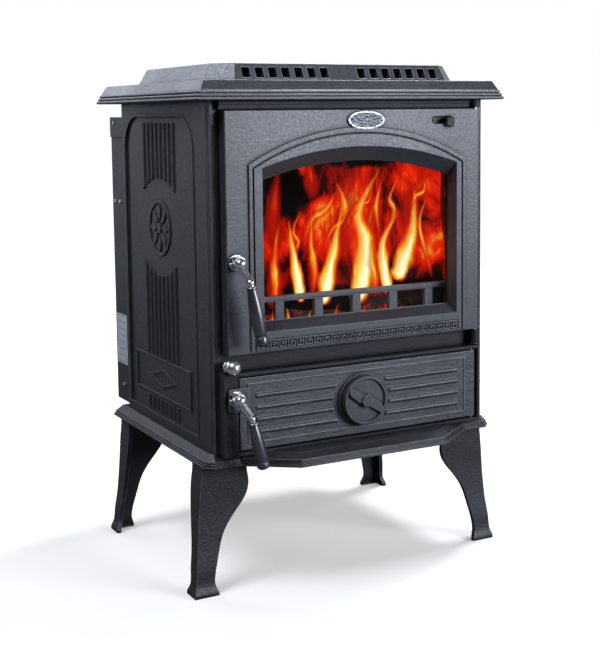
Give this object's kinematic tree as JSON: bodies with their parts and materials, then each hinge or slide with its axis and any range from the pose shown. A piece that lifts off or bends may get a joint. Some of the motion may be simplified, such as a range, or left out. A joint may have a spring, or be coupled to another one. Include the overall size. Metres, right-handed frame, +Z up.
{
  "type": "wood burning stove",
  "caption": "Cast iron wood burning stove on splayed legs, with an arched glazed fire door, an ash door with a spin wheel, lever handles and a slotted hood.",
  "frame": {"origin": "centre of the footprint on the floor, under the middle of the stove's bounding box", "axes": "+X to the right of a person facing the doors, the doors face -Y, +Z up"},
  "size_m": [0.5738, 0.5446, 0.8334],
  "materials": {
    "front_paint": "satin stove paint on cast iron",
    "top_paint": "satin stove paint on cast iron",
    "base_paint": "satin stove paint on cast iron",
    "side_paint": "satin stove paint on cast iron",
    "inner_iron": "bare cast iron, sooted",
    "sheet_steel": "matt black sheet steel",
    "bright_chrome": "polished chrome",
    "ferrule_metal": "dark plated",
    "grip_black": "glossy black phenolic",
    "steel": "machined",
    "zinc": "zinc plated",
    "nut_brass": "turned",
    "ceramic_glass": "clear ceramic glass",
    "rope_seal": "braided glass fibre rope",
    "fire_brick": "fired clay",
    "plain_label": "plain silver label without text"
  },
  "bodies": {
    "root": {"ash_door_pins": "steel", "ash_pan": "sheet_steel", "back_panel": "side_paint", "baffle_plate": "inner_iron", "base_plate": "base_paint", "fire_door_pins": "steel", "firebrick_back": "fire_brick", "firebrick_left": "fire_brick", "firebrick_right": "fire_brick", "flue_blanking_plate": "side_paint", "flue_collar": "side_paint", "flue_collar_bolts": "zinc", "front_frame": "front_paint", "grate_frame": "inner_iron", "leg_bolts": "zinc", "leg_front_left": "base_paint", "leg_front_right": "base_paint", "leg_rear_left": "base_paint", "leg_rear_right": "base_paint", "log_guard": "inner_iron", "rating_plate": "plain_label", "rear_heat_shield": "sheet_steel", "shield_brackets": "sheet_steel", "shield_screws": "zinc", "side_panel_left": "side_paint", "side_panel_right": "side_paint", "tie_rod_nuts": "zinc", "tie_rods": "zinc", "top_hood": "top_paint", "top_plate": "top_paint"},
    "riddling": {"riddling_grate": "inner_iron", "riddling_rod": "steel", "riddling_knob": "bright_chrome"},
    "fire_door": {"fire_door": "front_paint", "door_glass": "ceramic_glass", "glass_gasket": "rope_seal", "glass_clips": "steel", "glass_clip_screws": "zinc", "fire_door_seal": "rope_seal", "oval_badge": "bright_chrome", "door_handle_rose": "bright_chrome", "slider_guides": "sheet_steel"},
    "fire_handle": {"door_handle_crank": "bright_chrome", "door_handle_ferrule": "ferrule_metal", "door_handle_grip": "grip_black", "door_handle_latch_cam": "steel", "door_handle_spindle": "steel"},
    "air_slider": {"air_wash_slider": "sheet_steel", "air_wash_lever": "grip_black"},
    "ash_door": {"ash_door": "front_paint", "ash_door_seal": "rope_seal", "spin_wheel_stud": "steel", "ash_handle_rose": "bright_chrome"},
    "ash_handle": {"ash_handle_crank": "bright_chrome", "ash_handle_ferrule": "ferrule_metal", "ash_handle_grip": "grip_black", "ash_handle_latch_cam": "steel", "ash_handle_spindle": "steel"},
    "spin_nut": {"spin_wheel_nut": "nut_brass"},
    "spin_wheel": {"spin_wheel": "front_paint"}
  },
  "joints": [
    {"name": "fire_door_hinge", "type": "hinge", "parent": "root", "child": "fire_door", "pos_m": [0.2295, -0.2095, 0.573], "axis": [0, 0, 1], "range_deg": [0, 115]},
    {"name": "fire_handle_turn", "type": "hinge", "parent": "fire_door", "child": "fire_handle", "pos_m": [-0.223, -0.222, 0.53], "axis": [0, -1, 0], "range_deg": [0, 80]},
    {"name": "air_wash_slide", "type": "slide", "parent": "fire_door", "child": "air_slider", "axis": [1, 0, 0], "range_m": [-0.026, 0]},
    {"name": "ash_door_hinge", "type": "hinge", "parent": "root", "child": "ash_door", "pos_m": [0.2195, -0.214, 0.2935], "axis": [0, 0, 1], "range_deg": [0, 95]},
    {"name": "ash_handle_turn", "type": "hinge", "parent": "ash_door", "child": "ash_handle", "pos_m": [-0.229, -0.225, 0.321], "axis": [0, -1, 0], "range_deg": [0, 80]},
    {"name": "spin_wheel_turn", "type": "hinge", "parent": "ash_door", "child": "spin_nut", "pos_m": [-0.002, -0.228, 0.293], "axis": [0, -1, 0], "range_deg": [0, 720]},
    {"name": "spin_wheel_advance", "type": "slide", "parent": "spin_nut", "child": "spin_wheel", "axis": [0, -1, 0], "range_m": [0, 0.0036]},
    {"name": "riddling_slide", "type": "slide", "parent": "root", "child": "riddling", "axis": [0, -1, 0], "range_m": [0, 0.03]}
  ],
  "couplings": [
    {"joint": "spin_wheel_advance", "follows": "spin_wheel_turn", "m_per_rad": 0.00027852}
  ]
}
